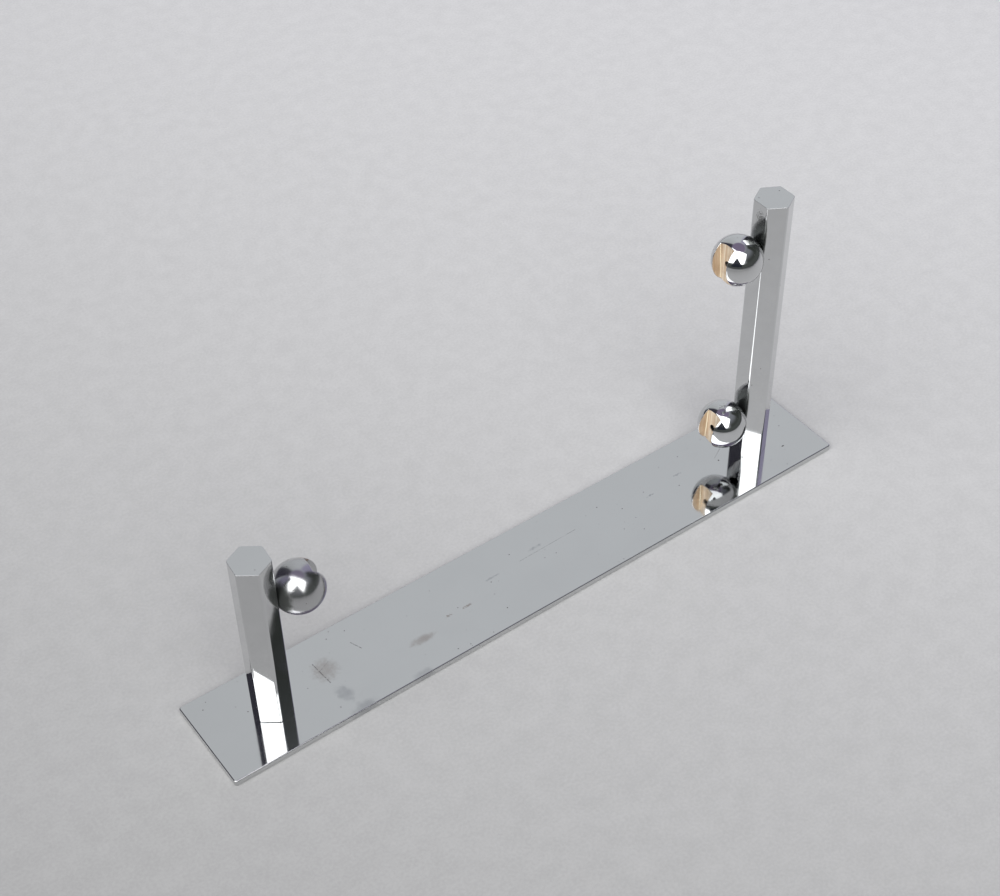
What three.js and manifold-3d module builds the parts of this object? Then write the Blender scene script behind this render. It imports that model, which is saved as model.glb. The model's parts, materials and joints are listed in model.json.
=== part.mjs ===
// Stand for a frameless glass picture frame, in chrome-plated bar and strip.
//
// A long thin strip carries two upright hexagonal bars, one tall and one short. Slotted balls are
// studded to the flats that face each other: two on the tall bar and one on the short bar. The side
// edges of the glass stand in the slots and its lower edge rests on the strip.
//
// Millimetres, +Z up. The origin is the centre of the strip's underside, and +X points along the
// strip towards the tall bar.

import * as THREE from 'three';
import { mergeVertices } from 'three/addons/utils/BufferGeometryUtils.js';
import Module from 'manifold-3d';

const wasm = await Module();
wasm.setup();

// Driving dimensions.

const PLATE = { length: 267, width: 38.6, thickness: 2.5, cornerRadius: 1, edgeRadius: 0.3 };

const BAR = { acrossFlats: 12.7, cornerRadius: 0.5, endRadius: 0.35 };

// Each ball has its height on the bar, and how far its stud ends below the slot's floor.
const POSTS = [
  {
    name: 'tall_post',
    x: 107.5,
    height: 118,
    inward: -1,
    balls: { upper_ball: { height: 98, studSink: 0.1 }, lower_ball: { height: 20, studSink: 1 } },
  },
  {
    name: 'short_post',
    x: -107.5,
    height: 73.5,
    inward: 1,
    balls: { short_post_ball: { height: 53, studSink: 1 } },
  },
];

// The ball sits on its bar by a small ground flat, so its centre is nearer than its radius.
const BALL = { radius: 9.3, centreFromPostAxis: 15, arcSteps: 22, turnSteps: 44 };

// The slot is open at the ball's inner side, top and bottom. Its floor is a flat upright face.
const SLOT = { width: 7, floorFromCentre: 4.6 };

const STUD = { radius: 1.3, holeRadius: 1.6, depthInPost: 7, driverWidth: 0.5, driverDepth: 0.8 };

const SCREW = {
  radius: 2,
  holeRadius: 2.3,
  countersinkRadius: 4.3,
  sink: 0.1,
  rim: 0.15,
  lengthInPost: 12,
  driverWidth: 1,
  driverDepth: 0.9,
};

const JOINT_GAP = 0.05; // between faces that bear on each other
const CONE_GAP = 0.35; // between a screw's cone and its countersink, measured along the radius
const TIP_CHAMFER = 0.4; // on the ends of studs and screws
const HOLE_RUNOUT = 0.5; // how far a blind hole goes past the end of its stud or screw
const PAST_FACE = 5; // how far a cutting solid stands out of the face that it enters
const ROUND_STEPS = 24; // sides of a drilled hole, stud or screw
const CORNER_STEPS = 2; // steps of a rounded corner or edge

// Materials.

const chrome = { color: 0xb9bdc1, roughness: 0.12, metalness: 1 };
const steel = { color: 0x8a8a86, roughness: 0.4, metalness: 1 };

// Solids and meshes.

function toSolid(geometry) {
  geometry.deleteAttribute('normal');
  geometry.deleteAttribute('uv');
  const merged = mergeVertices(geometry);
  const vertProperties = merged.attributes.position.array;
  const triVerts = merged.index.array;
  return new wasm.Manifold(new wasm.Mesh({ numProp: 3, vertProperties, triVerts }));
}

function toMesh(name, solid, look) {
  const { vertProperties, triVerts } = solid.getMesh();
  const geometry = new THREE.BufferGeometry();
  geometry.setAttribute('position', new THREE.BufferAttribute(vertProperties, 3));
  geometry.setIndex(new THREE.BufferAttribute(triVerts, 1));
  geometry.computeVertexNormals();
  const mesh = new THREE.Mesh(geometry, new THREE.MeshStandardMaterial(look));
  mesh.name = name;
  return mesh;
}

// An upright prism on z = 0 with rounded end edges, over a shape that has rounded corners.
function prism(shape, height, edgeRadius) {
  const geometry = new THREE.ExtrudeGeometry(shape, {
    depth: height - 2 * edgeRadius,
    curveSegments: CORNER_STEPS,
    bevelThickness: edgeRadius,
    bevelSize: edgeRadius,
    bevelOffset: -edgeRadius,
    bevelSegments: CORNER_STEPS,
  });
  geometry.translate(0, 0, edgeRadius);
  return toSolid(geometry);
}

// A solid of revolution about Z, from its outline as [radius, z] pairs going up.
function turned(outline, steps = ROUND_STEPS) {
  const points = outline.map(([radius, z]) => new THREE.Vector2(radius, z));
  const geometry = new THREE.LatheGeometry(points, steps);
  geometry.rotateX(Math.PI / 2);
  return toSolid(geometry);
}

// A rod about Z from one height to another, with chamfered ends.
function rodOutline(radius, bottom, top) {
  return [
    [0, bottom],
    [radius - TIP_CHAMFER, bottom],
    [radius, bottom + TIP_CHAMFER],
    [radius, top - TIP_CHAMFER],
    [radius - TIP_CHAMFER, top],
    [0, top],
  ];
}

function boxSolid([width, depth, height], [x, y, z]) {
  return toSolid(new THREE.BoxGeometry(width, depth, height).translate(x, y, z));
}

// A round cutter about X between two places on it.
function crossHole(radius, from, to, z) {
  const length = Math.abs(to - from);
  const geometry = new THREE.CylinderGeometry(radius, radius, length, ROUND_STEPS);
  geometry.rotateZ(Math.PI / 2).translate((from + to) / 2, 0, z);
  return toSolid(geometry);
}

// Shapes.

function roundedRectangle(length, width, radius) {
  const shape = new THREE.Shape();
  const corners = [[1, 1], [-1, 1], [-1, -1], [1, -1]];
  corners.forEach(([sideX, sideY], index) => {
    const start = (index * Math.PI) / 2;
    const x = sideX * (length / 2 - radius);
    const y = sideY * (width / 2 - radius);
    shape.absarc(x, y, radius, start, start + Math.PI / 2, false);
  });
  return shape;
}

// Flats face +X and -X, so that the balls sit square to the strip.
function roundedHexagon(acrossFlats, radius) {
  const shape = new THREE.Shape();
  const sixth = Math.PI / 3;
  const reach = (acrossFlats / 2 - radius) / Math.cos(sixth / 2);
  for (let corner = 0; corner < 6; corner += 1) {
    const angle = (corner + 0.5) * sixth;
    const x = reach * Math.cos(angle);
    const y = reach * Math.sin(angle);
    shape.absarc(x, y, radius, angle - sixth / 2, angle + sixth / 2, false);
  }
  return shape;
}

// Parts.

function buildPlate() {
  const outline = roundedRectangle(PLATE.length, PLATE.width, PLATE.cornerRadius);
  let plate = prism(outline, PLATE.thickness, PLATE.edgeRadius);
  const coneTop = SCREW.countersinkRadius - SCREW.holeRadius;
  const countersunkHole = turned([
    [0, -PAST_FACE],
    [SCREW.countersinkRadius + PAST_FACE, -PAST_FACE],
    [SCREW.holeRadius, coneTop],
    [SCREW.holeRadius, PLATE.thickness + PAST_FACE],
    [0, PLATE.thickness + PAST_FACE],
  ]);
  for (const post of POSTS) {
    plate = plate.subtract(countersunkHole.translate([post.x, 0, 0]));
  }
  return toMesh('base_plate', plate, chrome);
}

function buildPost({ name, x, height, inward, balls }) {
  let post = prism(roundedHexagon(BAR.acrossFlats, BAR.cornerRadius), height, BAR.endRadius);
  const screwHole = turned([
    [0, -PAST_FACE],
    [SCREW.holeRadius, -PAST_FACE],
    [SCREW.holeRadius, SCREW.lengthInPost + HOLE_RUNOUT],
    [0, SCREW.lengthInPost + HOLE_RUNOUT],
  ]);
  post = post.subtract(screwHole);
  const flat = BAR.acrossFlats / 2;
  const holeEnd = flat - STUD.depthInPost - HOLE_RUNOUT;
  for (const ball of Object.values(balls)) {
    const studHole = crossHole(STUD.holeRadius, inward * holeEnd, inward * (flat + PAST_FACE), ball.height);
    post = post.subtract(studHole);
  }
  const mesh = toMesh(name, post, chrome);
  mesh.position.set(x, 0, PLATE.thickness + JOINT_GAP);
  return mesh;
}

// The ball's own +X is the way its slot opens. Its outline closes on itself round the stud's hole.
function buildBall(name) {
  const seat = BALL.centreFromPostAxis - BAR.acrossFlats / 2 - JOINT_GAP;
  const start = -Math.asin(seat / BALL.radius);
  const end = Math.acos(STUD.holeRadius / BALL.radius);
  const outline = [[STUD.holeRadius, -seat]];
  for (let step = 0; step <= BALL.arcSteps; step += 1) {
    const angle = start + ((end - start) * step) / BALL.arcSteps;
    outline.push([BALL.radius * Math.cos(angle), BALL.radius * Math.sin(angle)]);
  }
  outline.push(outline[0]);
  const ball = turned(outline, BALL.turnSteps).rotate([0, 90, 0]);
  const slotDepth = BALL.radius + PAST_FACE - SLOT.floorFromCentre;
  const slot = boxSolid(
    [slotDepth, SLOT.width, 2 * (BALL.radius + PAST_FACE)],
    [SLOT.floorFromCentre + slotDepth / 2, 0, 0],
  );
  return toMesh(name, ball.subtract(slot), chrome);
}

// The stud joins ball and bar. Its slotted end lies at or below the slot's floor.
function buildStud(name, sink) {
  const inner = BAR.acrossFlats / 2 - BALL.centreFromPostAxis - STUD.depthInPost;
  const outer = SLOT.floorFromCentre - sink;
  const rod = turned(rodOutline(STUD.radius, inner, outer)).rotate([0, 90, 0]);
  const driver = boxSolid(
    [2 * STUD.driverDepth, 4 * STUD.radius, STUD.driverWidth],
    [outer, 0, 0],
  );
  return toMesh(name, rod.subtract(driver), steel);
}

function buildPlateScrew(name, x) {
  const headRadius = SCREW.countersinkRadius - SCREW.sink - SCREW.rim - CONE_GAP;
  const coneBottom = SCREW.sink + SCREW.rim;
  const coneTop = coneBottom + headRadius - SCREW.radius;
  const tip = PLATE.thickness + SCREW.lengthInPost;
  const body = turned([
    [0, SCREW.sink],
    [headRadius, SCREW.sink],
    [headRadius, coneBottom],
    [SCREW.radius, coneTop],
    [SCREW.radius, tip - TIP_CHAMFER],
    [SCREW.radius - TIP_CHAMFER, tip],
    [0, tip],
  ]);
  const driver = boxSolid(
    [4 * headRadius, SCREW.driverWidth, 2 * SCREW.driverDepth],
    [0, 0, SCREW.sink],
  );
  const mesh = toMesh(name, body.subtract(driver), steel);
  mesh.position.x = x;
  return mesh;
}

// Assembly.

const stand = new THREE.Group();
stand.add(buildPlate());
for (const post of POSTS) {
  stand.add(buildPost(post));
  stand.add(buildPlateScrew(`${post.name}_screw`, post.x));
  for (const [ballName, ball] of Object.entries(post.balls)) {
    const holder = new THREE.Group();
    const reach = post.inward * BALL.centreFromPostAxis;
    holder.position.set(post.x + reach, 0, PLATE.thickness + ball.height);
    holder.rotation.z = post.inward > 0 ? 0 : Math.PI;
    holder.add(buildBall(ballName), buildStud(`${ballName}_stud`, ball.studSink));
    stand.add(holder);
  }
}

export default stand;
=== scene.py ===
"""Looks for the glass frame stand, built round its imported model.

The stand is a long chrome strip with two upright hexagonal bars. Slotted balls are studded to the
flats that face each other, and hold the side edges of a sheet of glass. Units are metres and the
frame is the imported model's: +X along the strip towards the tall bar, +Z up, the origin under the
middle of the strip.
"""

import json
import logging
import math
from dataclasses import dataclass, field
from enum import Enum
from typing import Any, Sequence

import bmesh
import bpy
import numpy as np
from mathutils import Matrix, Vector


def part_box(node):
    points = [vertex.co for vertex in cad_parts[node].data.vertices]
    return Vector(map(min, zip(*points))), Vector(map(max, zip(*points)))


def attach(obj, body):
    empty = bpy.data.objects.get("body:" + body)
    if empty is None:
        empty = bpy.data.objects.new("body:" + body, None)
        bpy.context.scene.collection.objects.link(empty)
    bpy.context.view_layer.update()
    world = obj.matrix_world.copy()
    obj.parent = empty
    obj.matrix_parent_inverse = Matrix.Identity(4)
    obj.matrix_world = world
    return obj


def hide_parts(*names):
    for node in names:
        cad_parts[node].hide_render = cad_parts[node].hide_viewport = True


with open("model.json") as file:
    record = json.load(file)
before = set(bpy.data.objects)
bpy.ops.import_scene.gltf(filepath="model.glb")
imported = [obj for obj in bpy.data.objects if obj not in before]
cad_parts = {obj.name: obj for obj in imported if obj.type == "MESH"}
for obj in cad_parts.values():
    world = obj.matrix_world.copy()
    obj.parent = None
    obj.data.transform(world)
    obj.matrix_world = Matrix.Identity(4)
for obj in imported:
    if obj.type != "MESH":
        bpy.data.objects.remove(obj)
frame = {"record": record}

MM = 0.001
MERGE_DISTANCE = 1e-7
SHARP_ANGLE = math.radians(34)
LOG = logging.getLogger("glass_frame_stand")

Colour = tuple[float, float, float]
Point = tuple[float, float, float]


# ---- Node trees ----


class Signal:
    """One output of a node, on which Python arithmetic adds Math nodes.

    Args:
        tree: the node tree that the output is in.
        socket: the output itself.
    """

    def __init__(self, tree: "Tree", socket: bpy.types.NodeSocket) -> None:
        """Keeps the output and its tree."""
        self.tree = tree
        self.socket = socket

    def _maths(self, operation: str, *terms: "Signal | float") -> "Signal":
        """Adds one Math node that works on these terms in order."""
        node = self.tree.add("ShaderNodeMath", {"operation": operation}, dict(enumerate(terms)))
        return self.tree.out(node)

    def __add__(self, other: "Signal | float") -> "Signal":
        """self + other"""
        return self._maths("ADD", self, other)

    def __radd__(self, other: float) -> "Signal":
        """other + self"""
        return self._maths("ADD", other, self)

    def __sub__(self, other: "Signal | float") -> "Signal":
        """self - other"""
        return self._maths("SUBTRACT", self, other)

    def __rsub__(self, other: float) -> "Signal":
        """other - self"""
        return self._maths("SUBTRACT", other, self)

    def __mul__(self, other: "Signal | float") -> "Signal":
        """self * other"""
        return self._maths("MULTIPLY", self, other)

    def __rmul__(self, other: float) -> "Signal":
        """other * self"""
        return self._maths("MULTIPLY", other, self)

    def __truediv__(self, other: "Signal | float") -> "Signal":
        """self / other"""
        return self._maths("DIVIDE", self, other)

    def __rtruediv__(self, other: float) -> "Signal":
        """other / self"""
        return self._maths("DIVIDE", other, self)

    def clamped(self) -> "Signal":
        """Held between 0 and 1."""
        return self._maths("MINIMUM", self._maths("MAXIMUM", self, 0.0), 1.0)

    def degrees_up(self) -> "Signal":
        """The angle in degrees whose sine this is."""
        return self._maths("DEGREES", self._maths("ARCSINE", self))

    def root(self) -> "Signal":
        """The square root."""
        return self._maths("SQRT", self)

    def ramp(self, low: float, high: float, to_low: float = 0.0, to_high: float = 1.0) -> "Signal":
        """Carries low..high smoothly to to_low..to_high, and holds the ends.

        Args:
            low: the value that becomes to_low.
            high: the value that becomes to_high.
            to_low: the result at and beyond low.
            to_high: the result at and beyond high.

        Returns:
            The carried value.
        """
        settings = {"interpolation_type": "SMOOTHSTEP"}
        values = {"Value": self, "From Min": low, "From Max": high, "To Min": to_low, "To Max": to_high}
        return self.tree.out(self.tree.add("ShaderNodeMapRange", settings, values))


class Tree:
    """A node tree that is built by calls instead of by hand.

    Args:
        owner: the material, world or light whose nodes are made.
    """

    def __init__(self, owner: Any) -> None:
        """Clears the owner's nodes. The class's own docstring has the arguments."""
        owner.use_nodes = True
        self.nodes = owner.node_tree.nodes
        self.links = owner.node_tree.links
        self.nodes.clear()

    def add(
        self, kind: str, settings: dict[str, Any] | None = None, values: dict[Any, Any] | None = None
    ) -> bpy.types.Node:
        """Adds a node, sets its settings, then fills or links its sockets.

        Args:
            kind: the node's type, such as ShaderNodeTexNoise.
            settings: the node's own properties, set first.
            values: socket name or number to a number, a colour or a Signal.

        Returns:
            The node.
        """
        node = self.nodes.new(kind)
        for name, value in (settings or {}).items():
            setattr(node, name, value)
        for name, value in (values or {}).items():
            if isinstance(value, Signal):
                self.links.new(value.socket, node.inputs[name])
            else:
                node.inputs[name].default_value = value
        return node

    def out(self, node: bpy.types.Node, name: str | int = 0) -> Signal:
        """One output of a node as a Signal."""
        return Signal(self, node.outputs[name])

    def own(self) -> Signal:
        """The object coordinates."""
        return self.out(self.add("ShaderNodeTexCoord"), "Object")

    def attribute(self, name: str) -> Signal:
        """A named value that the piece carries at each point."""
        return self.out(self.add("ShaderNodeAttribute", {"attribute_name": name}), "Fac")

    def place(self, turn: Point = (0, 0, 0), scale: Point = (1, 1, 1)) -> Signal:
        """Object coordinates, turned and scaled by a Mapping node.

        Args:
            turn: turns about X, Y and Z in degrees.
            scale: scales along X, Y and Z.

        Returns:
            The coordinates.
        """
        angles = tuple(math.radians(angle) for angle in turn)
        values = {"Vector": self.own(), "Rotation": angles, "Scale": scale}
        return self.out(self.add("ShaderNodeMapping", {"vector_type": "POINT"}, values))

    def noise(self, where: Signal, scale: float, detail: float = 2.0, rough: float = 0.5) -> Signal:
        """A cloudy pattern round 0.5.

        Args:
            where: the coordinates that it reads.
            scale: how many features there are to a metre.
            detail: how many finer layers it has.
            rough: how strong the finer layers are.

        Returns:
            The pattern's value.
        """
        values = {"Vector": where, "Scale": scale, "Detail": detail, "Roughness": rough}
        return self.out(self.add("ShaderNodeTexNoise", None, values), "Fac")

    def vector(self, operation: str, first: Any, second: Any = None, scale: Any = None) -> Signal:
        """A vector made by a Vector Math node.

        Args:
            operation: the node's operation.
            first: a vector or a Signal.
            second: another, where the operation takes two.
            scale: the factor, where it takes one.

        Returns:
            The vector.
        """
        given = {0: first, 1: second, "Scale": scale}
        values = {name: value for name, value in given.items() if value is not None}
        return self.out(self.add("ShaderNodeVectorMath", {"operation": operation}, values))

    def measure(self, operation: str, first: Any, second: Any = None) -> Signal:
        """A number made by a Vector Math node.

        Args:
            operation: LENGTH, DISTANCE or DOT_PRODUCT.
            first: a vector or a Signal.
            second: another, where the operation takes two.

        Returns:
            The number.
        """
        values = {0: first} if second is None else {0: first, 1: second}
        return self.out(self.add("ShaderNodeVectorMath", {"operation": operation}, values), "Value")

    def blend(self, share: Signal | float, first: Any, second: Any) -> Signal:
        """A colour between two, by a Mix node.

        Args:
            share: 0 for the first colour and 1 for the second.
            first: a colour or a Signal.
            second: a colour or a Signal.

        Returns:
            The mixed colour.
        """
        values = {0: share, 6: _rgba(first), 7: _rgba(second)}
        return self.out(self.add("ShaderNodeMix", {"data_type": "RGBA"}, values), 2)

    def surface(self, values: dict[str, Any], height: Signal | None = None) -> None:
        """Ends the tree in a Principled shader, over a bump where a height is given.

        Args:
            values: what the shader's sockets hold.
            height: the surface's height in millimetres.
        """
        if height is not None:
            bump = self.add("ShaderNodeBump", None, {"Strength": 1.0, "Distance": MM, "Height": height})
            values = {**values, "Normal": self.out(bump)}
        shader = self.add("ShaderNodeBsdfPrincipled", None, values)
        self.add("ShaderNodeOutputMaterial", None, {"Surface": self.out(shader)})


def _rgba(colour: Any) -> Any:
    """A colour with its fourth number; a Signal stays as it is."""
    return colour if isinstance(colour, Signal) else (*colour, 1.0)


# ---- Finishes ----

BROWN: Colour = (0.30, 0.25, 0.22)
GREY: Colour = (0.30, 0.31, 0.33)
DARK: Colour = (0.10, 0.10, 0.09)
RUST: Colour = (0.30, 0.13, 0.05)
# Colour of painted shade and painted dark reflection, for the patches where the balls meet their bars.
PAINTED_SHADE_AND_REFLECTION: Colour = (0.085, 0.092, 0.085)
PIT: Colour = (0.075, 0.062, 0.05)
SCRATCHED: Colour = (0.12, 0.11, 0.11)
BRASS_SHADED: Colour = (0.76, 0.59, 0.41)
BRASS_BRIGHT: Colour = (0.97, 0.88, 0.73)
BRASS_TARNISH: Colour = (0.46, 0.34, 0.23)
# Painted shade: the colour of the slot's +Y side wall, darker than its floor.
BRASS_PAINTED_WALL_SHADE: Colour = (0.48, 0.34, 0.22)
# Painted highlight: near-white cream along the slot's inner corner.
BRASS_PAINTED_CORNER_HIGHLIGHT: Colour = (1.0, 0.95, 0.80)
# Painted shade: near-black inside the stud's hole.
PAINTED_HOLE_SHADE: Colour = (0.012, 0.010, 0.009)


class Grain(Enum):
    """Which way the last polish or cut ran on a piece."""

    ALONG_X = (0.012, 1.0, 1.0)
    ALONG_Z = (1.0, 1.0, 0.012)


@dataclass(frozen=True)
class WearAndPaintedShadeSpot:
    """A smudge, a stain, a place where the plating is pitted or rubbed through, or a patch of painted shade
    or painted dark reflection.

    Args:
        centre: its middle, in metres.
        reach: how far it goes along X, Y and Z.
        colour: what shows there.
        strength: 1 where it covers the plating wholly.
        scale: the size of its mottling, as features to a metre.
        coverage: how closed it is at its middle; 0.5 is half covered.
        softness: 0.05 for sharp specks, 0.4 for a smear.
        depth: how deep it is eaten into the surface, in millimetres.
    """

    centre: Point
    reach: Point
    colour: Colour
    strength: float
    scale: float
    coverage: float = 0.8
    softness: float = 0.4
    depth: float = 0.0

    def mask(self, tree: Tree) -> Signal:
        """Its share at each place: full near its middle, and broken up by mottling.

        Args:
            tree: the material's node tree.

        Returns:
            The share, 0 to 1.
        """
        own = tree.own()
        offset = tree.vector("SUBTRACT", own, self.centre)
        inside = tree.measure("LENGTH", tree.vector("DIVIDE", offset, self.reach)).ramp(1.0, 0.1)
        mottle = tree.noise(own, self.scale, 3.0, 0.6)
        share = (inside * self.coverage + mottle).ramp(1.0 - self.softness, 1.0 + self.softness)
        return share * inside.ramp(0.0, 0.4) * self.strength


@dataclass(frozen=True)
class Scratch:
    """A straight scratch.

    Args:
        start: one end, in metres.
        end: the other end.
        width: how wide it is.
        strength: how dark it is, 0 to 1.
    """

    start: Point
    end: Point
    width: float
    strength: float

    def mask(self, tree: Tree) -> Signal:
        """Its share at each place, from how far the place is from the line between its ends.

        Args:
            tree: the material's node tree.

        Returns:
            The share, 0 to 1.
        """
        own = tree.own()
        line = Vector(self.end) - Vector(self.start)
        offset = tree.vector("SUBTRACT", own, self.start)
        dot = tree.measure("DOT_PRODUCT", offset, tuple(line / line.length_squared))
        along = tree.vector("SCALE", tuple(line), scale=dot.clamped())
        away = tree.measure("DISTANCE", offset, along)
        broken = tree.noise(own, 1200.0, 2.0, 0.6).ramp(0.35, 0.55)
        return away.ramp(self.width, 0.3 * self.width) * broken * self.strength


@dataclass(frozen=True)
class Chrome:
    """Old polished chrome plating with smudges, hairlines, pits and wear, and patches of painted shade and
    painted dark reflection.

    Args:
        name: the material's name.
        tint: the plating's reflected colour.
        grain: the way that its hairlines mostly run.
        polish: roughness where it is cleanest.
        haze: what smudges add to the roughness.
        hairlines: how strong the fine scratches are.
        pits: how many of the pattern's cells hold a pit, 0 to 1.
        pit_size: radius of the largest pits, in metres.
        ripple: how uneven the surface is, as the height of its waves in metres.
        slot_floor: where an unplated slot's floor is along X, or None. Past it, in the stud's hole, the
            colour is painted near-black as painted shade.
        spots: smudges and worn places.
        scratches: single scratches that stand out.
    """

    name: str
    tint: Colour = (0.615, 0.622, 0.625)
    grain: Grain = Grain.ALONG_Z
    polish: float = 0.045
    haze: float = 0.10
    hairlines: float = 0.5
    pits: float = 0.05
    pit_size: float = 0.00030
    ripple: float = 0.000004
    slot_floor: float | None = None
    # spots: smudges, places where the plating wears, and patches of painted shade and painted dark
    # reflection.
    spots: Sequence[WearAndPaintedShadeSpot] = ()
    scratches: Sequence[Scratch] = ()

    def _hairlines(self, tree: Tree) -> Signal:
        """Thin streaks along the grain and two crossing sets of wiping marks.

        Args:
            tree: the material's node tree.

        Returns:
            Their share at each place, 0 to 1.
        """
        # Each set's turn in degrees, its streaks to a metre, and the level of noise that makes one.
        ways = ((0.0, 1400.0, 0.70), (24.0, 900.0, 0.74), (-67.0, 1100.0, 0.76))
        total: Signal | float = 0.0
        for turn, scale, threshold in ways:
            where = tree.place((turn * 0.4, turn * 0.3, turn), self.grain.value)
            total = tree.noise(where, scale, 1.0, 0.4).ramp(threshold - 0.05, threshold + 0.03) + total
        return total.ramp(0.0, 1.0)

    def _pits(self, tree: Tree) -> Signal:
        """Small round pits in a few cells of a cell pattern, of several sizes.

        Args:
            tree: the material's node tree.

        Returns:
            Their share at each place, 0 to 1.
        """
        warp = tree.noise(tree.place(), 2500.0, 1.0)
        values = {"Vector": tree.place(), "Scale": 0.25 / self.pit_size, "Randomness": 1.0}
        cells = tree.add("ShaderNodeTexVoronoi", {"feature": "F1"}, values)
        draw = tree.out(tree.add("ShaderNodeSeparateColor", None, {0: tree.out(cells, "Color")}), 0)
        chosen = draw.ramp(1.0 - self.pits, 1.0 - 0.6 * self.pits)
        near = (tree.out(cells, "Distance") + (warp - 0.5) * 0.08).ramp(0.23, 0.10)
        return near * chosen

    def build(self) -> bpy.types.Material:
        """Makes the material.

        Returns:
            The material.
        """
        material = bpy.data.materials.new(self.name)
        tree = Tree(material)
        smudge = tree.noise(tree.place(), 60.0, 4.0, 0.55).ramp(0.45, 0.75)
        film = tree.noise(tree.place((0, 0, 30), (1.0, 2.2, 1.0)), 14.0, 3.0, 0.6).ramp(0.35, 0.75)
        lines = self._hairlines(tree) * self.hairlines
        pits = self._pits(tree)
        ripple = tree.noise(tree.place(), 35.0, 1.0)

        colour = tree.blend(film * 0.10 + smudge * 0.06, self.tint, tuple(0.80 * c for c in self.tint))
        colour = tree.blend(pits * 0.85, colour, PIT)
        rough = self.polish + smudge * self.haze * 0.6 + film * self.haze * 0.5 + lines * 0.10 + pits * 0.5
        height = ripple * (self.ripple / MM) - pits * 0.03 - lines * 0.0006
        metal: Signal | float = 1.0
        # Spots are real wear, and some are patches of painted shade and painted dark reflection; each one's
        # colour is blended in.
        for spot in self.spots:
            wear_and_painted_light = spot.mask(tree)
            colour = tree.blend(wear_and_painted_light, colour, spot.colour)
            rough = rough + wear_and_painted_light * 0.25
            height = height - wear_and_painted_light * spot.depth
        for scratch in self.scratches:
            line = scratch.mask(tree)
            colour = tree.blend(line, colour, SCRATCHED)
            rough = rough + line * 0.3
        if self.slot_floor is not None:
            edge = tree.noise(tree.place(), 1800.0, 3.0, 0.6)
            bare = (tree.attribute("bare") + (edge - 0.5) * 0.5).ramp(0.52, 0.68)
            colour = tree.blend(bare, colour, self._brass(tree))
            cut = tree.noise(tree.place((0, 0, 0), (1.0, 1.0, 0.02)), 2600.0, 2.0, 0.7)
            rough = rough + bare * (0.36 + cut * 0.16)
            height = height + bare * (cut * 0.006)
            metal = 1.0 - bare * 0.45
        tree.surface({"Base Color": colour, "Metallic": metal, "Roughness": rough}, height)
        return material

    def _brass(self, tree: Tree) -> Signal:
        """Milled brass: upright cutter marks over patchy tarnish, painted shade on the slot's +Y side wall,
        a painted highlight along its inner corner, and painted shade, near-black, in the stud's hole.

        Args:
            tree: the material's node tree.

        Returns:
            Its colour.
        """
        cut = tree.noise(tree.place((0, 0, 0), (1.0, 1.0, 0.015)), 1500.0, 3.0, 0.7).ramp(0.35, 0.65)
        tarnish = tree.noise(tree.place(), 260.0, 3.0, 0.6).ramp(0.42, 0.68)
        nook = tree.attribute("nook")
        split = tree.add("ShaderNodeSeparateXYZ", None, {0: tree.own()})
        across, inside = tree.out(split, "Y"), tree.out(split, "X") - self.slot_floor
        clean = tree.blend(cut, BRASS_SHADED, BRASS_BRIGHT)
        wear_and_painted_light = tree.blend(tarnish * 0.35, clean, BRASS_TARNISH)
        # Painted shade: the slot's +Y side wall is coloured darker.
        wear_and_painted_light = tree.blend(across.ramp(0.0024, 0.0034, 0.0, 0.6), wear_and_painted_light, BRASS_PAINTED_WALL_SHADE)
        # Painted highlight: a near-white cream line along the slot's inner corner, where wall meets floor.
        wear_and_painted_light = tree.blend(nook.ramp(0.15, 0.50) * (0.75 + cut * 0.25), wear_and_painted_light, BRASS_PAINTED_CORNER_HIGHLIGHT)
        # Painted shade: near-black past the slot's floor, inside the stud's hole.
        return tree.blend(inside.ramp(0.00005, 0.00040), wear_and_painted_light, PAINTED_HOLE_SHADE)


@dataclass(frozen=True)
class TurnedSteel:
    """Plain steel of a screw or stud, with lathe marks and a little oil-dark tarnish.

    Args:
        name: the material's name.
        colour: the clean metal's colour.
        tarnish: the colour in its dark patches.
    """

    name: str
    colour: Colour = (0.30, 0.29, 0.27)
    tarnish: Colour = (0.045, 0.040, 0.035)

    def build(self) -> bpy.types.Material:
        """Makes the material.

        Returns:
            The material.
        """
        material = bpy.data.materials.new(self.name)
        tree = Tree(material)
        dark = tree.noise(tree.place(), 700.0, 4.0, 0.6).ramp(0.32, 0.58)
        marks = tree.noise(tree.place((0, 0, 0), (1.0, 1.0, 9.0)), 900.0, 2.0, 0.6)
        colour = tree.blend(dark, self.colour, self.tarnish)
        rough = 0.26 + dark * 0.22 + marks * 0.12
        height = marks * 0.004 - dark * 0.003
        tree.surface({"Base Color": colour, "Metallic": 1.0, "Roughness": rough}, height)
        return material


STRIP_TOP = 2.5 * MM


def on_strip(x: float, y: float) -> Point:
    """A place on the strip's top."""
    return (x, y, STRIP_TOP)


def smudge(x: float, y: float, half_x: float, half_y: float, *look: Any) -> WearAndPaintedShadeSpot:
    """A spot on the strip's top at (x, y); look goes on with WearAndPaintedShadeSpot's own arguments from colour."""
    return WearAndPaintedShadeSpot(on_strip(x, y), (half_x, half_y, 4 * STRIP_TOP), *look)


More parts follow.
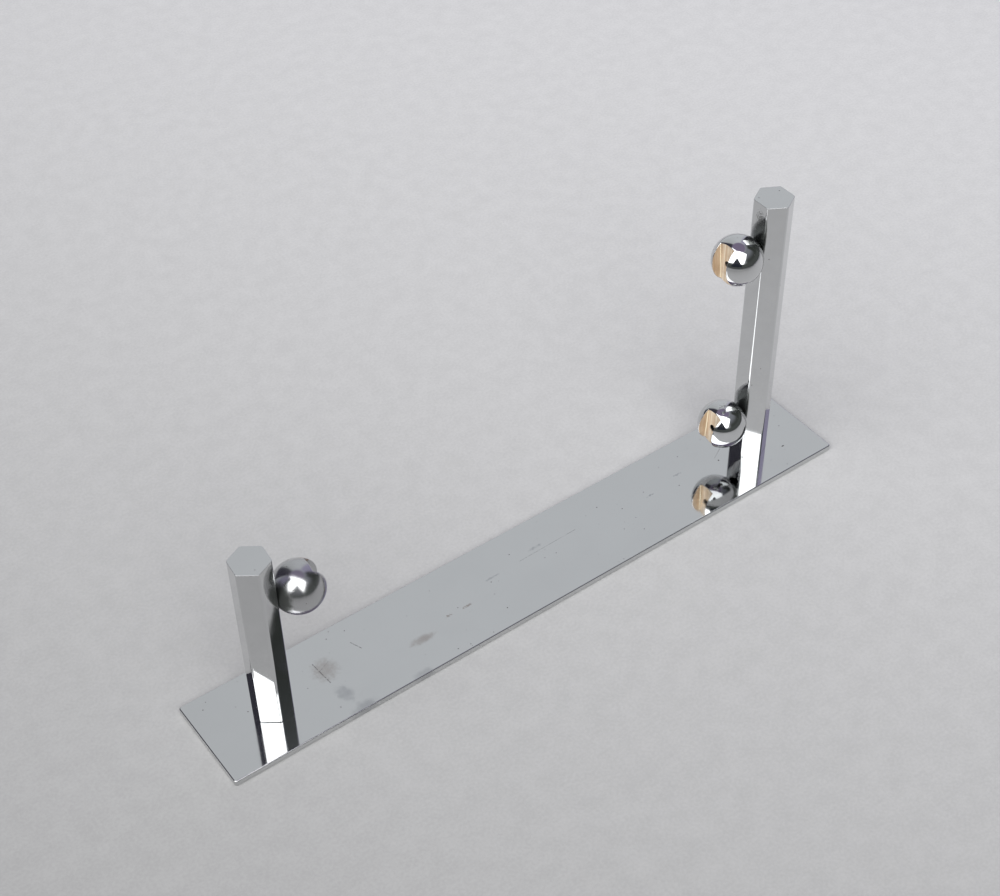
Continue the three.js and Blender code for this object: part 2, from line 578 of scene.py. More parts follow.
STRIP_SMUDGES = (
    smudge(-0.0845, 0.0035, 0.0080, 0.0085, BROWN, 0.42, 700.0),
    smudge(-0.0845, -0.0095, 0.0050, 0.0070, GREY, 0.45, 500.0),
    smudge(-0.0820, -0.0185, 0.0090, 0.0050, GREY, 0.45, 300.0),
    smudge(-0.0580, -0.0190, 0.0070, 0.0040, GREY, 0.35, 300.0),
    smudge(-0.0495, -0.0055, 0.0085, 0.0030, BROWN, 0.50, 400.0),
    smudge(-0.0360, -0.0020, 0.0035, 0.0012, BROWN, 0.60, 1500.0, 0.6, 0.15),
    smudge(-0.0280, -0.0022, 0.0050, 0.0012, BROWN, 0.65, 1500.0, 0.6, 0.15),
    smudge(-0.0130, 0.0035, 0.0080, 0.0012, GREY, 0.40, 900.0, 0.6, 0.2),
    smudge(0.0085, 0.0062, 0.0060, 0.0014, GREY, 0.45, 900.0, 0.6, 0.2),
    smudge(0.0600, 0.0015, 0.0035, 0.0010, GREY, 0.60, 1200.0, 0.6, 0.15),
    smudge(0.0750, 0.0040, 0.0050, 0.0012, GREY, 0.45, 1200.0, 0.6, 0.15),
    smudge(0.0930, 0.0005, 0.0006, 0.0006, DARK, 0.90, 3000.0, 0.9, 0.1),
    smudge(0.1182, -0.0085, 0.0013, 0.0005, DARK, 0.90, 3000.0, 0.9, 0.1),
    smudge(-0.0170, -0.0115, 0.0005, 0.0005, DARK, 0.80, 3000.0, 0.9, 0.1),
)

STRIP_SCRATCHES = (
    Scratch(on_strip(-0.0868, 0.0080), on_strip(-0.0860, -0.0025), 0.00030, 0.6),
    Scratch(on_strip(-0.0860, 0.0040), on_strip(-0.0815, 0.0060), 0.00020, 0.3),
    Scratch(on_strip(-0.0708, 0.0085), on_strip(-0.0690, 0.0040), 0.00024, 0.7),
    Scratch(on_strip(0.0000, 0.0040), on_strip(0.0260, 0.0045), 0.00018, 0.4),
    Scratch(on_strip(0.0920, 0.0020), on_strip(0.0975, 0.0050), 0.00018, 0.5),
)

BAR_SPECKLE_AND_PAINTED_REFLECTIONS = (
    WearAndPaintedShadeSpot((0.1012, -0.0005, 0.1145), (0.004, 0.005, 0.010), DARK, 0.8, 1800.0, 0.50, 0.10, 0.01),
    # Painted reflection: these two spots darken the tall bar's face beside each ball, where the ball's dark
    # side reflects in it. The first spot is real speckle.
    WearAndPaintedShadeSpot((0.1010, -0.0034, 0.1075), (0.0010, 0.0084, 0.0125), PAINTED_SHADE_AND_REFLECTION, 0.85, 400.0, 1.6, 0.35),
    WearAndPaintedShadeSpot((0.1010, -0.0034, 0.0295), (0.0010, 0.0084, 0.0125), PAINTED_SHADE_AND_REFLECTION, 0.85, 400.0, 1.6, 0.35),
)

BALL_WEAR_AND_PAINTED_SHADE = (
    WearAndPaintedShadeSpot((0.0920, -0.0012, 0.0317), (0.0065, 0.0065, 0.003), DARK, 0.6, 1500.0, 0.45, 0.15, 0.01),
    WearAndPaintedShadeSpot((-0.0872, 0.0036, 0.0615), (0.0034, 0.0034, 0.0030), RUST, 1.0, 1200.0, 0.9, 0.2, 0.01),
    # Painted shade: darkens the short ball beside its bar, where it sees the bar's dark faces and little
    # light reaches.
    WearAndPaintedShadeSpot((-0.1008, -0.0040, 0.0565), (0.0056, 0.0078, 0.0110), PAINTED_SHADE_AND_REFLECTION, 0.92, 400.0, 1.2, 0.40),
)


# ---- Meshes ----


def grid_faces(columns: int, rows: int, closed_rows: bool) -> np.ndarray:
    """Quads of a grid whose columns close into a ring.

    Point (column, row) is number column * rows + row. Each quad joins a column to the next one, and
    a row to the next one; the last column joins the first, and so does the last row where asked.

    Args:
        columns: how many columns there are.
        rows: how many points a column has.
        closed_rows: True where the last row joins the first.

    Returns:
        Point numbers, four to a quad.
    """
    column = np.arange(columns)[:, None]
    row = np.arange(rows if closed_rows else rows - 1)[None, :]
    after, above = (column + 1) % columns, (row + 1) % rows
    corners = (column * rows + row, after * rows + row, after * rows + above, column * rows + above)
    return np.stack(np.broadcast_arrays(*corners), axis=-1).reshape(-1, 4)


def in_scene(name: str, data: bpy.types.ID) -> bpy.types.Object:
    """Makes an object and puts it into the scene.

    Args:
        name: its name.
        data: its mesh, light or camera.

    Returns:
        The object.
    """
    thing = bpy.data.objects.new(name, data)
    bpy.context.scene.collection.objects.link(thing)
    return thing


def open_loops_filled(shape: bmesh.types.BMesh) -> None:
    """Fills each level's open rings of edges, with the rings inside others left as holes.

    Args:
        shape: the mesh, whose open rings are all level.
    """
    rims: dict[float, list[bmesh.types.BMEdge]] = {}
    for edge in shape.edges:
        if edge.is_boundary:
            rims.setdefault(round(edge.verts[0].co.z, 7), []).append(edge)
    for edges in rims.values():
        bmesh.ops.triangle_fill(shape, use_beauty=True, edges=edges, normal=(0, 0, 1))


def finished(
    name: str,
    points: np.ndarray,
    faces: np.ndarray,
    material: bpy.types.Material,
    stands_for: Sequence[str],
    shares: dict[str, np.ndarray] | None = None,
) -> bpy.types.Object:
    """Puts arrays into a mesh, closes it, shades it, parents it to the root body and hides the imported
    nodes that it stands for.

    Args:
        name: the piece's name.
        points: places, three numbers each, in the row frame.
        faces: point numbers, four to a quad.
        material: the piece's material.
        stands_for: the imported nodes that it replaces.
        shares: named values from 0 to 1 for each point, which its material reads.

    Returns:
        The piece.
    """
    mesh = bpy.data.meshes.new(name)
    mesh.from_pydata(points.tolist(), [], faces.tolist())
    for label, values in (shares or {}).items():
        mesh.attributes.new(label, "FLOAT", "POINT").data.foreach_set("value", values.ravel())
    shape = bmesh.new()
    shape.from_mesh(mesh)
    bmesh.ops.remove_doubles(shape, verts=shape.verts, dist=MERGE_DISTANCE)
    bmesh.ops.dissolve_degenerate(shape, edges=shape.edges, dist=MERGE_DISTANCE)
    open_loops_filled(shape)
    bmesh.ops.recalc_face_normals(shape, faces=shape.faces)
    for face in shape.faces:
        face.smooth = True
    shape.to_mesh(mesh)
    shape.free()
    mesh.set_sharp_from_angle(angle=SHARP_ANGLE)
    piece = in_scene(name, mesh)
    mesh.materials.append(material)
    level = piece.modifiers.new("flat_faces_stay_flat", "WEIGHTED_NORMAL")
    level.mode, level.keep_sharp, level.weight = "FACE_AREA", True, 50
    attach(piece, "root")
    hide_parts(*stands_for)
    LOG.info("%s: %d points, %d faces, for %s", name, len(mesh.vertices), len(mesh.polygons), stands_for)
    return piece


@dataclass(frozen=True)
class RoundedPrism:
    """An upright prism whose corners and end edges are rounded.

    Args:
        corners: the middle of each corner's arc, going round to the left, in metres.
        bearings: the way that each corner points, in radians.
        corner_radius: the arcs' radius.
        edges: the lower and the upper end edge's radius, no larger than the corners'.
        bottom: the lower end's height.
        top: the upper end's height.
        holes: (x, profile) of each hole, its profile as (z, radius) rows from bottom to top.
        corner_steps: steps of each corner's arc.
        edge_steps: steps of each end edge.
        hole_steps: sides of each hole.
    """

    corners: np.ndarray
    bearings: np.ndarray
    corner_radius: float
    edges: tuple[float, float]
    bottom: float
    top: float
    holes: Sequence[tuple[float, np.ndarray]] = ()
    corner_steps: int = 10
    edge_steps: int = 6
    hole_steps: int = 64

    def _wall(self) -> tuple[np.ndarray, np.ndarray]:
        """The outside wall.

        For each way round and each height, the point is the corner's middle plus, along the arc's
        direction, its radius less the inset that the end edge's quarter circle has there.

        Returns:
            Its points and quads.
        """
        half = math.pi / len(self.corners)
        sweep = np.linspace(-half, half, self.corner_steps + 1)
        angles = (self.bearings[:, None] + sweep[None, :]).ravel()
        middles = np.repeat(self.corners, self.corner_steps + 1, axis=0)
        quarter = np.linspace(0, math.pi / 2, self.edge_steps + 1)
        inset, rise = 1 - np.sin(quarter), 1 - np.cos(quarter)
        lower, upper = self.edges
        heights = np.concatenate([self.bottom + lower * rise, self.top - upper * rise[::-1]])
        insets = np.concatenate([lower * inset, upper * inset[::-1]])
        reach = self.corner_radius - insets[None, :]
        x = middles[:, :1] + reach * np.cos(angles)[:, None]
        y = middles[:, 1:] + reach * np.sin(angles)[:, None]
        z = np.broadcast_to(heights, x.shape)
        return np.stack([x, y, z], axis=-1).reshape(-1, 3), grid_faces(*x.shape, closed_rows=False)

    def _hole(self, x: float, profile: np.ndarray) -> tuple[np.ndarray, np.ndarray]:
        """A hole's wall: its profile's radius turned about an upright axis.

        Args:
            x: where the axis is along X.
            profile: its (z, radius) rows.

        Returns:
            Its points and quads.
        """
        turn = np.linspace(0, 2 * math.pi, self.hole_steps, endpoint=False)[:, None]
        px = x + profile[None, :, 1] * np.cos(turn)
        py = profile[None, :, 1] * np.sin(turn)
        pz = np.broadcast_to(profile[None, :, 0], px.shape)
        return np.stack([px, py, pz], axis=-1).reshape(-1, 3), grid_faces(*px.shape, closed_rows=False)

    def arrays(self) -> tuple[np.ndarray, np.ndarray]:
        """All the walls. The ends are filled when the mesh is closed.

        Returns:
            Their points and quads.
        """
        points, faces = self._wall()
        for x, profile in self.holes:
            more, quads = self._hole(x, profile)
            faces = np.concatenate([faces, quads + len(points)])
            points = np.concatenate([points, more])
        return points, faces


@dataclass(frozen=True)
class SlottedTurning:
    """A turned piece with a straight slot milled across its front.

    It is a lathe surface whose section changes with the turn. Going round the axis, the slot's wall
    at half_width from the middle is half_width / |cos turn| from the axis. Each section follows the
    turned outline forward to where it meets that wall, or the slot's floor if that comes first,
    rounds the edge by a curve drawn to the sharp corner, then goes along the wall and in across the
    floor to the bore or the axis. The axis is the piece's own +X and the slot runs along its Z.

    Args:
        outline: (x, radius) points of the outline, from the back to the front.
        fixed: how many of the outline's points, from the back, have a row of their own.
        floor: where the slot's floor is along the axis.
        half_width: half the slot's width.
        bore: radius of a hole along the axis, or 0.
        edge: how far the slot's outer edge is rounded.
        turns: sections in each quarter, doubled.
        front_rows: rows along the outline after its fixed points.
        edge_rows: rows across the rounded edge.
        wall_rows: rows down the slot's wall.
        floor_rows: rows in along the slot's floor.
        nook: how far from the slot's inner corner a point still counts as near it.
    """

    outline: np.ndarray
    fixed: int
    floor: float
    half_width: float
    bore: float
    edge: float
    turns: int = 26
    front_rows: int = 56
    edge_rows: int = 6
    wall_rows: int = 8
    floor_rows: int = 12
    nook: float = 0.5 * MM

    def _turns(self, radius_at_floor: float) -> np.ndarray:
        """Turn angles all round, with one exactly at each end of each floor edge.

        Args:
            radius_at_floor: the outline's radius at the slot's floor.

        Returns:
            The angles, in radians.
        """
        corner = math.acos(min(1.0, self.half_width / radius_at_floor))
        stops = [-corner, corner, math.pi - corner, math.pi + corner, 2 * math.pi - corner]
        parts = [
            np.linspace(low, high, 2 * self.turns, endpoint=False)
            for low, high in zip(stops[:-1], stops[1:])
        ]
        return np.concatenate(parts)

    def arrays(self) -> tuple[np.ndarray, np.ndarray, dict[str, np.ndarray]]:
        """Points, quads, and how bare and how near the slot's inner corner each point is.

        Returns:
            Places in the piece's own frame, point numbers of the quads, and the named shares.
        """
        x, radius = self.outline.T
        run = np.concatenate([[0], np.cumsum(np.hypot(np.diff(x), np.diff(radius)))])
        front = np.argmax(radius)
        at_floor = np.interp(self.floor, x, run)
        radius_at_floor = float(np.interp(at_floor, run, radius))
        turn = self._turns(radius_at_floor)
        wall = np.minimum(self.half_width / np.maximum(np.abs(np.cos(turn)), 1e-9), radius_at_floor)
        meets = np.interp(-wall, -radius[front:], run[front:])
        meets = np.where(wall >= radius_at_floor * (1 - 1e-9), at_floor, meets)

        def along(distance: np.ndarray) -> np.ndarray:
            """(x, radius) at these distances along the outline."""
            return np.stack([np.interp(distance, run, x), np.interp(distance, run, radius)], axis=-1)

        last = (meets - self.edge)[:, None]
        held = np.minimum(run[None, : self.fixed], last)
        share = np.linspace(0, 1, self.front_rows + 1)[None, 1:]
        start = held[:, -1:]
        outside = along(np.concatenate([held, start + share * (last - start)], axis=1))

        corner = along(meets[:, None])
        depth = corner[..., 0] - self.floor

        def inward(distance: np.ndarray) -> np.ndarray:
            """(x, radius) at these distances from the corner, down the wall and in along the floor."""
            down = np.minimum(distance, depth)
            return np.stack([corner[..., 0] - down, corner[..., 1] - (distance - down)], axis=-1)

        first, third = outside[:, -1:], inward(np.full_like(depth, self.edge))
        u = np.linspace(0, 1, self.edge_rows + 1)[None, 1:, None]
        rounded = (1 - u) ** 2 * first + 2 * u * (1 - u) * corner + u**2 * third
        share = 1 - np.linspace(1, 0, self.wall_rows + 1)[None, 1:] ** 2
        reach = np.maximum(depth, self.edge)
        down = self.edge + share * (reach - self.edge)
        share = np.linspace(0, 1, self.floor_rows + 1)[None, 1:] ** 2
        total = depth + corner[..., 1] - self.bore
        across = reach + share * (total - reach)
        section = np.concatenate([outside, rounded, inward(down), inward(across)], axis=1)
        columns, rows = section.shape[:2]

        curve = np.linspace(0, 1, self.edge_rows + 1)[1:]
        cut = np.ones(self.wall_rows + self.floor_rows)
        bare = np.tile(np.concatenate([np.zeros(outside.shape[1]), curve, cut]), columns)
        from_nook = np.abs(np.concatenate([down, across], axis=1) - depth) / self.nook
        nook = np.zeros((columns, rows))
        nook[:, -cut.size :] = np.clip(1 - from_nook, 0, 1)
        along_axis, out = section[..., 0], section[..., 1]
        swing = turn[:, None]
        points = np.stack([along_axis, out * np.cos(swing), out * np.sin(swing)], axis=-1)
        faces = grid_faces(columns, rows, closed_rows=self.bore > 0)
        return points.reshape(-1, 3), faces, {"bare": bare, "nook": nook.ravel()}


# ---- Sub-assemblies ----


def middle(node: str) -> np.ndarray:
    """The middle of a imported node's box."""
    low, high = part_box(node)
    return (np.array(low) + np.array(high)) / 2


def mount_x(name: str) -> float:
    """Where a mount is along X."""
    return next(m["pos_m"][0] for m in frame["record"]["mounts"] if m["name"] == name)


@dataclass(frozen=True)
class Upright:
    """An upright bar's axis, round which it may have turned with all that it carries.

    Args:
        node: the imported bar.
        turn: how far it has turned on its screw, in degrees.
    """

    node: str
    turn: float = 0.0

    def settle(self, points: np.ndarray) -> np.ndarray:
        """Turns points about the bar's axis.

        Args:
            points: places as they would be if the bar stood square.

        Returns:
            The turned places.
        """
        axis = middle(self.node) * np.array([1.0, 1.0, 0.0])
        about = np.array(Matrix.Rotation(math.radians(self.turn), 3, "Z"))
        return (points - axis) @ about.T + axis


@dataclass
class Strip:
    """The base: a strip of flat bar with two countersunk holes.

    Args:
        corner_radius: of its upright corners.
        edge: radius of its long edges.
        hole_radius: of the clearance holes.
        countersink: radius of the countersinks at the underside.
    """

    corner_radius: float = 1.0 * MM
    edge: float = 0.4 * MM
    hole_radius: float = 2.3 * MM
    countersink: float = 4.3 * MM

    def build(self, material: bpy.types.Material) -> bpy.types.Object:
        """Makes the strip.

        Args:
            material: its finish.

        Returns:
            The piece.
        """
        low, high = (np.array(corner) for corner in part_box("base_plate"))
        reach = high[:2] - self.corner_radius
        signs = np.array([(1, 1), (-1, 1), (-1, -1), (1, -1)])
        cone = self.countersink - self.hole_radius
        profile = np.array(
            [(low[2], self.countersink), (low[2] + cone, self.hole_radius), (high[2], self.hole_radius)]
        )
        body = RoundedPrism(
            corners=signs * reach,
            bearings=np.arctan2(signs[:, 1], signs[:, 0]),
            corner_radius=self.corner_radius,
            edges=(self.edge, self.edge),
            bottom=low[2],
            top=high[2],
            holes=[(middle(post)[0], profile) for post in ("tall_post", "short_post")],
        )
        points, faces = body.arrays()
        return finished("strip", points, faces, material, ["base_plate"])


@dataclass
class Bar:
    """An upright hexagonal bar.

    Args:
        upright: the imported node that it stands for, and its turn.
        name: the piece's name.
        foot_edge: radius of its foot's edges.
        corner_radius: of its six upright edges.
        top_edge: radius of its top's edges.
        seat_gap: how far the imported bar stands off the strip.
    """

    upright: Upright
    name: str
    foot_edge: float
    corner_radius: float = 1.2 * MM
    top_edge: float = 0.08 * MM
    seat_gap: float = 0.05 * MM

    def build(self, material: bpy.types.Material) -> bpy.types.Object:
        """Makes the bar.

        Args:
            material: its finish.

        Returns:
            The piece.
        """
        node = self.upright.node
        low, high = (np.array(corner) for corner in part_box(node))
        flat = (high[0] - low[0]) / 2
        centre = ((low + high) / 2)[:2]
        bearings = (np.arange(6) + 0.5) * math.pi / 3
        reach = (flat - self.corner_radius) / math.cos(math.pi / 6)
        around = np.stack([np.cos(bearings), np.sin(bearings)], axis=-1)
        body = RoundedPrism(
            corners=centre + reach * around,
            bearings=bearings,
            corner_radius=self.corner_radius,
            edges=(self.foot_edge, self.top_edge),
            bottom=low[2] - self.seat_gap,
            top=high[2],
        )
        points, faces = body.arrays()
        return finished(self.name, self.upright.settle(points), faces, material, [node])


@dataclass
class SlottedBall:
    """A ball with a ground seat on its bar and a slot for the glass.

    Args:
        name: the piece's name.
        node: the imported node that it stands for.
        mount: the mount on its slot's floor.
        upright: the bar that it sits on.
        turn: how far the ball has worked round on its stud, in degrees.
        bore: radius of the stud's hole.
        slot_width: across the slot.
        edge: how far the slot's edges were buffed away.
    """

    name: str
    node: str
    mount: str
    upright: Upright
    turn: float = 0.0
    bore: float = 1.6 * MM
    slot_width: float = 7.0 * MM
    edge: float = 0.45 * MM

    def build(self, material: bpy.types.Material) -> bpy.types.Object:
        """Makes the ball.

        Args:
            material: its finish.

        Returns:
            The piece.
        """
        low, high = (np.array(corner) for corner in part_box(self.node))
        radius = (high[2] - low[2]) / 2
        post_low, post_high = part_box(self.upright.node)
        inward = 1 if middle(self.node)[0] > middle(self.upright.node)[0] else -1
        flat = post_high[0] if inward > 0 else post_low[0]
        cheek = math.sqrt(radius**2 - (self.slot_width / 2) ** 2)
        centre_x = (high[0] if inward > 0 else low[0]) - inward * cheek
        seat = (centre_x - flat) * inward
        back = math.asin(seat / radius)
        sweep = np.linspace(-back, math.pi / 2, 400)
        arc = np.stack([radius * np.sin(sweep), radius * np.cos(sweep)], axis=-1)
        turned = SlottedTurning(
            outline=np.concatenate([[(-seat, self.bore)], arc]),
            fixed=2,
            floor=abs(mount_x(self.mount) - centre_x),
            half_width=self.slot_width / 2,
            bore=self.bore,
            edge=self.edge,
        )
        points, faces, shares = turned.arrays()
        about_stud = np.array(Matrix.Rotation(math.radians(self.turn), 3, "X"))
        own = np.array([centre_x, 0.0, (low[2] + high[2]) / 2])
        placed = self.upright.settle((points * np.array([inward, inward, 1.0])) @ about_stud.T + own)
        return finished(self.name, placed, faces, material, [self.node], shares)


DOWN: Point = (0.0, 0.0, -1.0)
SCREW_HEAD = ((0.0, 3.7 * MM), (0.15 * MM, 3.7 * MM), (1.85 * MM, 2.0 * MM))
SCREW_DRIVER = (1.0 * MM, 0.9 * MM)


@dataclass
class Fastener:
    """A stud or screw: a turned rod with a driver slot in its outer end.

    Args:
        name: the piece's name.
        node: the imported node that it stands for.
        upright: the bar that it is screwed into.
        outward: the way that its driver slot faces, as a signed axis.
        head: (distance from the outer end, radius) points of a head, from its outer face inward.
        radius: the rod's radius.
        driver: the driver slot's width and depth.
        chamfer: at the rod's ends.
        turn: how its driver slot happens to lie, in degrees.
        edge: how far the driver slot's edges are rounded.
    """

    name: str
    node: str
    upright: Upright
    outward: Point
    head: Sequence[tuple[float, float]] = ()
    radius: float = 1.3 * MM
    driver: tuple[float, float] = (0.5 * MM, 0.8 * MM)
    chamfer: float = 0.4 * MM
    turn: float = 25.0
    edge: float = 0.08 * MM

    def build(self, material: bpy.types.Material) -> bpy.types.Object:
        """Makes the stud or screw.

        Args:
            material: its finish.

        Returns:
            The piece.
        """
        low, high = (np.array(corner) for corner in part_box(self.node))
        outward = np.array(self.outward)
        length = float(np.abs((high - low) @ outward))
        rod = [(-length, 0.0), (-length, self.radius - self.chamfer), (-length + self.chamfer, self.radius)]
        plain_end = [(-self.chamfer, self.radius), (0.0, self.radius - self.chamfer)]
        end = [(-depth, radius) for depth, radius in reversed(self.head)] or plain_end
        body = SlottedTurning(
            outline=np.array([*rod, *end, (0.0, 0.0)]),
            fixed=4,
            floor=-self.driver[1],
            half_width=self.driver[0] / 2,
            bore=0.0,
            edge=self.edge,
            turns=10,
            front_rows=24,
        )
        points, faces, _ = body.arrays()
        spin = Matrix.Rotation(math.radians(self.turn), 3, "X")
        face = Vector(self.outward).to_track_quat("X", "Z").to_matrix()
        tip = (low + high) / 2 + outward * length / 2
        placed = points @ np.array(face @ spin).T + tip
        return finished(self.name, self.upright.settle(placed), faces, material, [self.node])


# ---- Studio ----


@dataclass(frozen=True)
class DarkPart:
    """A darker part of the surroundings.

    Args:
        bearing: the bearing of its middle, in degrees.
        half_width: how far it reaches to each side.
        top: how high it reaches above the floor, in degrees.
        softness: how soft its edges are, in degrees.
        colour: its radiance.
    """

    bearing: float
    half_width: float
    top: float
    softness: float
    colour: Colour


@dataclass
class Studio:
    """The floor, the light and the camera.

    Args:
        aim: the point that the camera looks at.
        bearing: which way the camera looks, in degrees from +X towards +Y.
        tilt: how far it looks down, in degrees.
        roll: its turn about its own axis, in degrees.
        distance: from the camera to the aim.
        lens: focal length in millimetres.
        sensor: the sensor's width in millimetres.
        room: the surroundings' radiance, round most of the room.
        bright_room: their radiance at the bearing room_bearing.
        room_bearing: that bearing, in degrees.
        ceiling: the radiance overhead.
        backdrop: what the camera itself sees beyond the floor.
        floor_reach: from the middle of the floor to its sides.
        floor_turn: from the camera's way to the way that the floor's painted light brightens, in degrees.
        floor_painted_light_colours: the floor's painted light: its colour where it is darkest, near the
            camera, and where it is brightest, far away.
        dark_parts: the darker surroundings. Where two overlap, the earlier one shows.
    """

    aim: Vector = field(default_factory=lambda: Vector((-0.0106, 0.0, 0.0690)))
    bearing: float = 54.8
    tilt: float = 43.7
    roll: float = -1.25
    distance: float = 0.611
    lens: float = 65.2
    sensor: float = 36.0
    room: Colour = (0.570, 0.588, 0.600)
    bright_room: Colour = (0.680, 0.700, 0.725)
    room_bearing: float = 38.0
    ceiling: Colour = (0.25, 0.21, 0.31)
    backdrop: Colour = (0.62, 0.62, 0.61)
    floor_reach: float = 6.0
    floor_turn: float = -22.0
    # Painted light: the floor's colour near the camera, then far away.
    floor_painted_light_colours: tuple[Colour, Colour] = ((0.245, 0.245, 0.241), (0.830, 0.832, 0.822))
    dark_parts: Sequence[DarkPart] = (
        DarkPart(136.0, 44.0, 70.0, 5.0, (0.055, 0.053, 0.070)),
        DarkPart(265.0, 85.0, 17.0, 4.0, (0.085, 0.092, 0.088)),
        DarkPart(346.0, 15.0, 54.0, 5.0, (0.050, 0.055, 0.050)),
        DarkPart(312.0, 44.0, 36.0, 13.0, (0.065, 0.070, 0.066)),
        DarkPart(318.0, 44.0, 64.0, 9.0, (0.24, 0.25, 0.28)),
        DarkPart(10.0, 24.0, 60.0, 6.0, (0.43, 0.40, 0.55)),
    )

    def _way(self, bearing: float, tilt: float) -> Vector:
        """A unit vector from a bearing and an angle above the floor, in degrees."""
        b, t = math.radians(bearing), math.radians(tilt)
        return Vector((math.cos(b) * math.cos(t), math.sin(b) * math.cos(t), math.sin(t)))

    def camera(self) -> None:
        """Sets up the camera."""
        lens = bpy.data.cameras.new("camera")
        lens.lens, lens.sensor_width = self.lens, self.sensor
        lens.clip_start, lens.clip_end = 0.01, 50.0
        body = in_scene("camera", lens)
        forward = self._way(self.bearing, -self.tilt)
        turn = forward.to_track_quat("-Z", "Y").to_matrix().to_4x4()
        roll = Matrix.Rotation(math.radians(self.roll), 4, "Z")
        body.matrix_world = Matrix.Translation(self.aim - forward * self.distance) @ turn @ roll
        bpy.context.scene.camera = body

    def _sheet(
        self, name: str, corners: Sequence[Sequence[float]], material: bpy.types.Material
    ) -> bpy.types.Object:
        """Makes a flat four-sided sheet.

        Args:
            name: its name.
            corners: its corners, in order.
            material: its finish.

        Returns:
            The sheet.
        """
        mesh = bpy.data.meshes.new(name)
        mesh.from_pydata([tuple(corner) for corner in corners], [], [(0, 1, 2, 3)])
        mesh.materials.append(material)
        return in_scene(name, mesh)

    def floor(self) -> None:
        """A wide pale floor with a faint mottle, and painted light: its colour is brighter away from the
        camera.
        """
        material = bpy.data.materials.new("pale_floor")
        tree = Tree(material)
        fine = tree.noise(tree.place(), 900.0, 3.0, 0.6)
        broad = tree.noise(tree.place(), 120.0, 3.0, 0.6)
        away = tree.measure("DOT_PRODUCT", tree.own(), self._way(self.bearing + self.floor_turn, 0.0))
        # Painted light: the floor's colour itself runs from dark near the camera to pale far away.
        painted_light_falloff = tree.blend(away.ramp(-0.45, 0.65), *self.floor_painted_light_colours)
        mottle = (fine * 0.6 + broad * 0.4).ramp(0.3, 0.7, 0.93, 1.05)
        colour = tree.vector("SCALE", painted_light_falloff, scale=mottle)
        tree.surface({"Base Color": colour, "Roughness": 0.6, "Specular IOR Level": 0.2})
        far = self.floor_reach
        corners = [(-far, -far, 0), (far, -far, 0), (far, far, 0), (-far, far, 0)]
        floor = self._sheet("floor", corners, material)

    def world(self) -> None:
        """Surroundings by bearing and height: a pale room with darker parts, and pale to the camera."""
        world = bpy.data.worlds.new("surroundings")
        bpy.context.scene.world = world
        tree = Tree(world)
        way = tree.out(tree.add("ShaderNodeTexCoord"), "Generated")
        sine = tree.out(tree.add("ShaderNodeSeparateXYZ", None, {0: way}), "Z")
        level = (1.0 - sine * sine).root()
        height = sine.degrees_up()

        def near(bearing: float, inner: float, outer: float) -> Signal:
            """1 within inner degrees of a bearing, and 0 beyond outer degrees."""
            cosine = tree.measure("DOT_PRODUCT", way, self._way(bearing, 0.0)) / level
            return cosine.ramp(math.cos(math.radians(outer)), math.cos(math.radians(inner)))

        colour = tree.blend(near(self.room_bearing, 5.0, 50.0), self.room, self.bright_room)
        for part in reversed(self.dark_parts):
            mask = near(part.bearing, part.half_width - part.softness, part.half_width + part.softness)
            below = height.ramp(part.top + part.softness, part.top - part.softness)
            colour = tree.blend(mask * below, colour, part.colour)
        colour = tree.blend(height.ramp(59.0, 67.0), colour, self.ceiling)
        seen = tree.out(tree.add("ShaderNodeLightPath"), "Is Camera Ray")
        colour = tree.blend(seen, colour, self.backdrop)
        shade = tree.add("ShaderNodeBackground", None, {"Color": colour, "Strength": 1.0})
        tree.add("ShaderNodeOutputWorld", None, {"Surface": tree.out(shade)})

    def flag(self) -> None:
        """A dark wedge-shaped card behind the camera, which only reflections see."""
        material = bpy.data.materials.new("dark_card")
        Tree(material).surface({"Base Color": (0.03, 0.035, 0.055, 1.0), "Roughness": 0.9})
        apex, drop = Vector((-0.389, -0.457, 0.72)), Vector((0.0, 0.0, -0.55))
        half_foot = self._way(self.bearing - 90.0, 0.0) * 0.30
        half_top = half_foot * 0.12
        corners = [apex + half_top, apex - half_top, apex + drop - half_foot, apex + drop + half_foot]
        card = self._sheet("flag", corners, material)
        card.visible_camera = card.visible_diffuse = card.visible_shadow = False

    def softbox(
        self,
        name: str,
        bearing: float,
        tilt: float,
        distance: float,
        size: tuple[float, float],
        radiance: float,
    ) -> None:
        """A flat soft light that faces the stand.

        Args:
            name: the light's name.
            bearing: where it stands, in degrees round from +X.
            tilt: how high it stands, in degrees above the floor.
            distance: how far away it is.
            size: its width and height.
            radiance: how bright its face is, 1 being a white that just clips.
        """
        light = bpy.data.lights.new(name, "AREA")
        light.shape, (light.size, light.size_y) = "RECTANGLE", size
        light.energy = radiance * math.pi * size[0] * size[1]
        lamp = in_scene(name, light)
        way = self._way(bearing, tilt)
        lamp.location = self.aim + way * distance
        lamp.rotation_euler = way.to_track_quat("Z", "Y").to_euler()

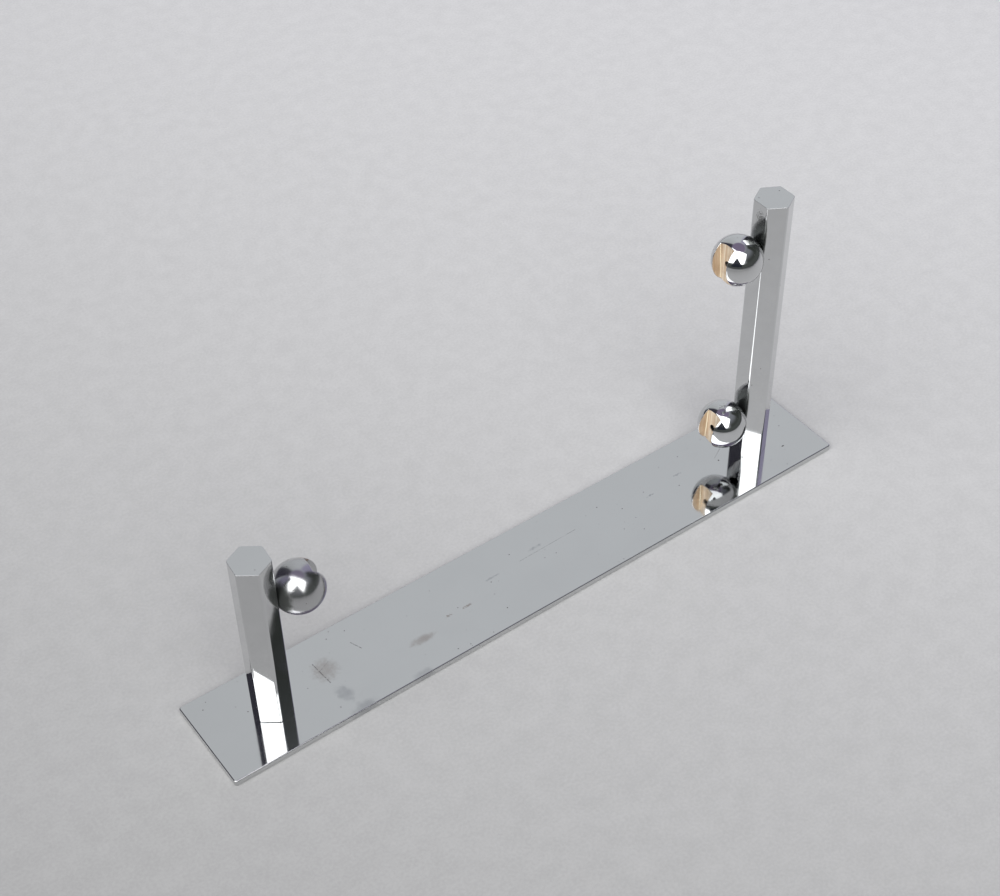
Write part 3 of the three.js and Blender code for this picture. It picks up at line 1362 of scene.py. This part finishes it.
    def build(self) -> None:
        """Makes the whole studio."""
        scene = bpy.context.scene
        scene.view_settings.view_transform = "Standard"
        self.floor()
        self.world()
        self.flag()
        self.softbox("window", bearing=216.5, tilt=51.5, distance=1.2, size=(2.26, 1.28), radiance=3.2)
        self.camera()


def main() -> None:
    """Builds the stand piece by piece, then its studio."""
    logging.basicConfig(level=logging.INFO, format="%(message)s")
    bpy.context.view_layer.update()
    strip_chrome = Chrome(
        "strip_chrome", grain=Grain.ALONG_X, pits=0.03, spots=STRIP_SMUDGES, scratches=STRIP_SCRATCHES
    ).build()
    bar_chrome = Chrome("bar_chrome", pits=0.02, spots=BAR_SPECKLE_AND_PAINTED_REFLECTIONS).build()
    slot_floor = mount_x("lower_slot_floor")
    ball_chrome = Chrome("ball_chrome", slot_floor=slot_floor, spots=BALL_WEAR_AND_PAINTED_SHADE[:1]).build()
    dull = (0.50, 0.505, 0.51)
    dull_chrome = Chrome("dull_ball_chrome", dull, polish=0.20, haze=0.03, spots=BALL_WEAR_AND_PAINTED_SHADE[1:]).build()
    steel = TurnedSteel("turned_steel").build()

    tall, short = Upright("tall_post"), Upright("short_post", turn=-5.5)
    Strip().build(strip_chrome)
    Bar(tall, "tall_bar", foot_edge=0.12 * MM).build(bar_chrome)
    Bar(short, "short_bar", foot_edge=0.42 * MM).build(bar_chrome)
    balls = (
        SlottedBall("upper_slotted_ball", "upper_ball", "upper_slot_floor", tall, -6.0, 1.35 * MM),
        SlottedBall("lower_slotted_ball", "lower_ball", "lower_slot_floor", tall, 3.0),
        SlottedBall("short_slotted_ball", "short_post_ball", "short_post_slot_floor", short, -3.0),
    )
    for ball, chrome in zip(balls, (ball_chrome, ball_chrome, dull_chrome)):
        ball.build(chrome)
    for ball in balls:
        outward = (1.0, 0.0, 0.0) if ball.upright is short else (-1.0, 0.0, 0.0)
        name = ball.name.replace("slotted_ball", "ball_set_stud")
        Fastener(name, f"{ball.node}_stud", ball.upright, outward).build(steel)
    for upright in (tall, short):
        name = upright.node.replace("post", "bar_screw")
        screw = Fastener(name, f"{upright.node}_screw", upright, DOWN, SCREW_HEAD, 2.0 * MM, SCREW_DRIVER)
        screw.build(steel)
    Studio().build()


if __name__ == "__main__":
    main()
